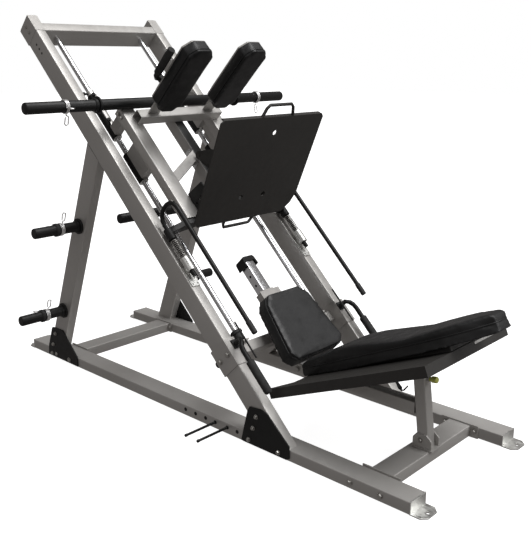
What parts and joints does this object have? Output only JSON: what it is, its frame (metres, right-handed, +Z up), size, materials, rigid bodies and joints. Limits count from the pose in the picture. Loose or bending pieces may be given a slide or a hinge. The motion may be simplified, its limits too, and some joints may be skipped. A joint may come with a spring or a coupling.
{
  "type": "leg press machine",
  "caption": "Combined 45-degree leg press and hack squat with sliding carriage, tilting foot plate, shoulder pads, sliding seat and tilting back rest.",
  "frame": {"origin": "on the floor, midway between the head end of the back pad and the rear floor tabs, on the centre plane", "axes": "+Z up, +Y horizontally from the seat end towards the tall rear end, +X across the machine to the right of a person lying on the back rest facing the foot plate"},
  "size_m": [1.56, 2.5806, 1.7304],
  "materials": {
    "silver_paint": "satin silver-grey powder coat",
    "black_paint": "satin black",
    "charcoal_paint": "matte dark charcoal powder coat",
    "chrome": "polished",
    "zinc_plate": "bright zinc",
    "black_vinyl": "satin upholstery vinyl",
    "pin_grip": "satin yellow-green"
  },
  "bodies": {
    "frame": {"base_rail_left": "silver_paint", "base_rail_right": "silver_paint", "foot_front_left": "zinc_plate", "foot_front_right": "zinc_plate", "foot_rear_left": "zinc_plate", "foot_rear_right": "zinc_plate", "front_cross_member": "silver_paint", "rear_cross_member": "silver_paint", "main_beam_left": "silver_paint", "main_beam_right": "silver_paint", "rear_post_left": "silver_paint", "rear_post_right": "silver_paint", "gusset_front_left": "black_paint", "gusset_front_right": "black_paint", "gusset_rear_left": "black_paint", "gusset_rear_right": "black_paint", "top_cross_tube": "silver_paint", "lower_cross_clamp": "silver_paint", "guide_rod_left": "chrome", "guide_rod_right": "chrome", "storage_peg_lower_left": "black_paint", "storage_peg_lower_right": "black_paint", "storage_peg_upper_left": "black_paint", "storage_peg_upper_right": "black_paint", "inner_storage_bar": "black_paint", "seat_handle_left": "black_paint", "seat_handle_right": "black_paint", "stop_bracket_left": "zinc_plate", "stop_bracket_right": "zinc_plate", "seat_spine": "silver_paint", "seat_tube": "chrome", "seat_tube_cap": "black_paint", "front_column": "silver_paint"},
    "carriage": {"carriage_side_left": "silver_paint", "carriage_side_right": "silver_paint", "carriage_cross_tube": "silver_paint", "carriage_centre_frame": "silver_paint", "tilt_plate_left": "black_paint", "tilt_plate_right": "black_paint", "bearing_housing_upper_left": "black_paint", "bearing_housing_upper_right": "black_paint", "bearing_housing_lower_left": "black_paint", "bearing_housing_lower_right": "black_paint", "load_bar": "black_paint", "shoulder_pad_left": "black_vinyl", "shoulder_pad_right": "black_vinyl", "shoulder_frame_left": "silver_paint", "shoulder_frame_right": "silver_paint", "shoulder_handle_left": "black_paint", "shoulder_handle_right": "black_paint"},
    "foot_plate": {"foot_plate": "charcoal_paint"},
    "stop_lever_left": {"stop_lever_left": "black_paint"},
    "stop_lever_right": {"stop_lever_right": "black_paint"},
    "seat": {"seat_slide": "silver_paint", "seat_pad": "black_vinyl"},
    "seat_pull_pin": {"seat_pull_pin": "pin_grip"},
    "back_rest": {"back_tray": "charcoal_paint", "back_pad": "black_vinyl"},
    "column_insert": {"column_insert": "chrome"},
    "column_pull_pin": {"column_pull_pin": "pin_grip"}
  },
  "joints": [
    {"name": "carriage_slide", "type": "slide", "parent": "frame", "child": "carriage", "axis": [0, 0.7071, 0.7071], "range_m": [0, 0.33]},
    {"name": "foot_plate_tilt", "type": "hinge", "parent": "carriage", "child": "foot_plate", "pos_m": [0, 0.25509, 1.09531], "axis": [1, 0, 0], "range_deg": [-15, 0]},
    {"name": "stop_lever_left_swing", "type": "hinge", "parent": "frame", "child": "stop_lever_left", "pos_m": [-0.364, 0.0455, 0.76042], "axis": [0, -0.7071, -0.7071], "range_deg": [0, 60], "stiffness_Nm_per_rad": 6, "springref_deg": -22.92},
    {"name": "stop_lever_right_swing", "type": "hinge", "parent": "frame", "child": "stop_lever_right", "pos_m": [0.364, 0.0455, 0.76042], "axis": [0, 0.7071, 0.7071], "range_deg": [0, 60], "stiffness_Nm_per_rad": 6, "springref_deg": -22.92},
    {"name": "seat_adjust", "type": "slide", "parent": "frame", "child": "seat", "axis": [0, 0.7071, 0.7071], "range_m": [0, 0.13]},
    {"name": "seat_pin_pull", "type": "slide", "parent": "seat", "child": "seat_pull_pin", "axis": [1, 0, 0], "range_m": [0, 0.01], "stiffness_N_per_m": 600, "springref_m": -0.01},
    {"name": "back_rest_tilt", "type": "hinge", "parent": "frame", "child": "back_rest", "pos_m": [0, -0.53397, 0.246], "axis": [1, 0, 0], "range_deg": [-8, 4]},
    {"name": "insert_slide", "type": "slide", "parent": "frame", "child": "column_insert", "axis": [0, 0.1289, 0.9917], "range_m": [-0.035, 0.07]},
    {"name": "column_pin_pull", "type": "slide", "parent": "frame", "child": "column_pull_pin", "axis": [0, -0.9917, 0.1289], "range_m": [0, 0.01], "stiffness_N_per_m": 600, "springref_m": -0.01}
  ],
  "couplings": [
    {"joint": "insert_slide", "follows": "back_rest_tilt", "m_per_rad": -0.472}
  ]
}
